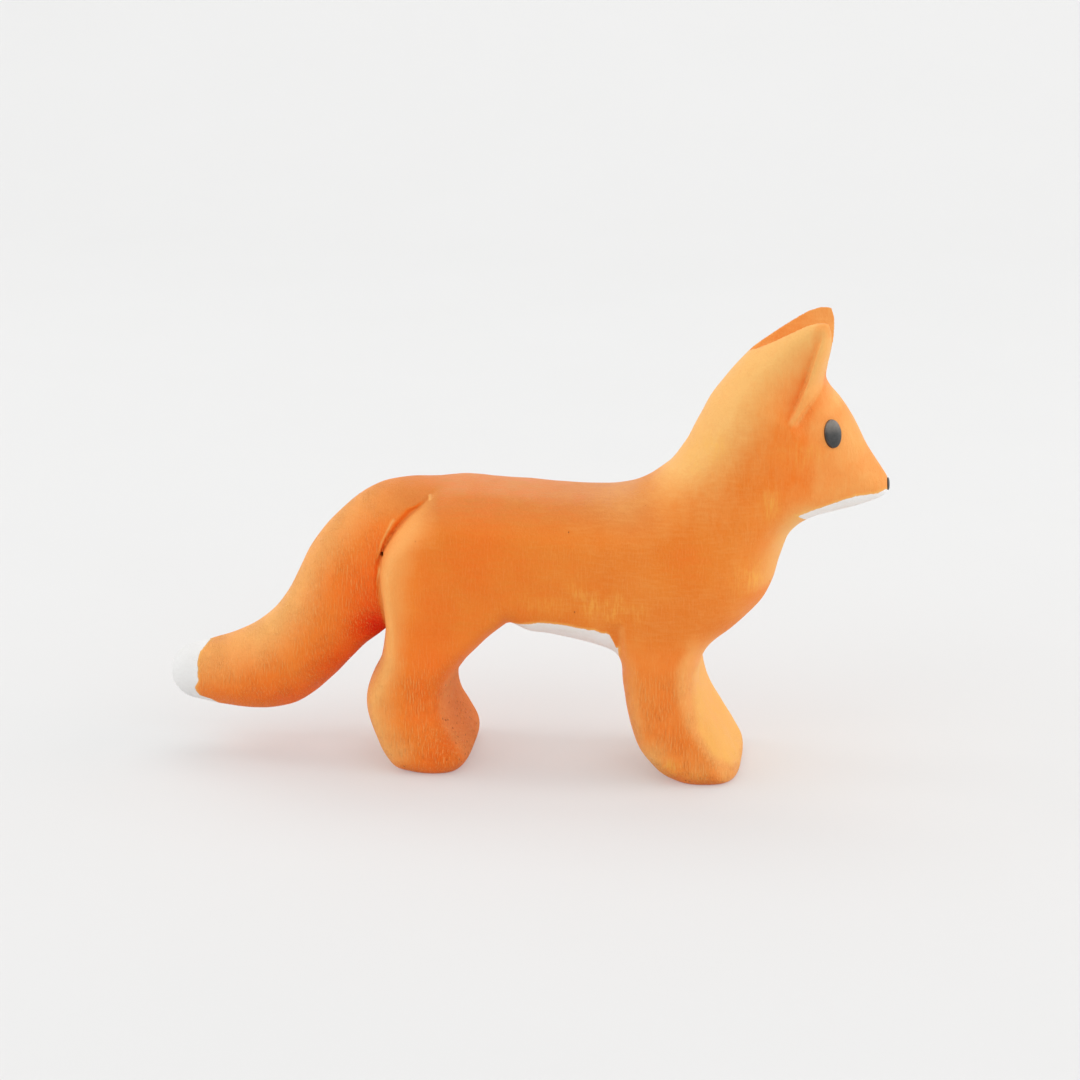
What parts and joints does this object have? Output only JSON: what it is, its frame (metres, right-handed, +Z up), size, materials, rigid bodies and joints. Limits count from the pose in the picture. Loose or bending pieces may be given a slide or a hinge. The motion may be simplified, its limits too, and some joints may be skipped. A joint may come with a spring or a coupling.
{
  "type": "fox figurine",
  "caption": "Standing fox figurine in carved, orange-stained wood, with a lowered brush tail, upright ears, white chin, belly and tail tip, and black eyes and nose.",
  "frame": {"origin": "middle of the bounding box on the ground plane under the soles", "axes": "+X along the body towards the nose, +Y towards the fox's left, +Z up"},
  "size_m": [0.1207, 0.028, 0.077],
  "materials": {
    "painted_wood": "carved wood with an orange stain, white areas painted, waxed matt",
    "dowel_wood": "plain turned beech",
    "black_gloss": "black, rounded, satin to glossy"
  },
  "bodies": {
    "root": {"core_board": "painted_wood", "left_flank": "painted_wood", "right_flank": "painted_wood", "haunch_dowel": "dowel_wood", "shoulder_dowel": "dowel_wood", "left_eye": "black_gloss", "right_eye": "black_gloss", "nose": "black_gloss"}
  },
  "joints": []
}
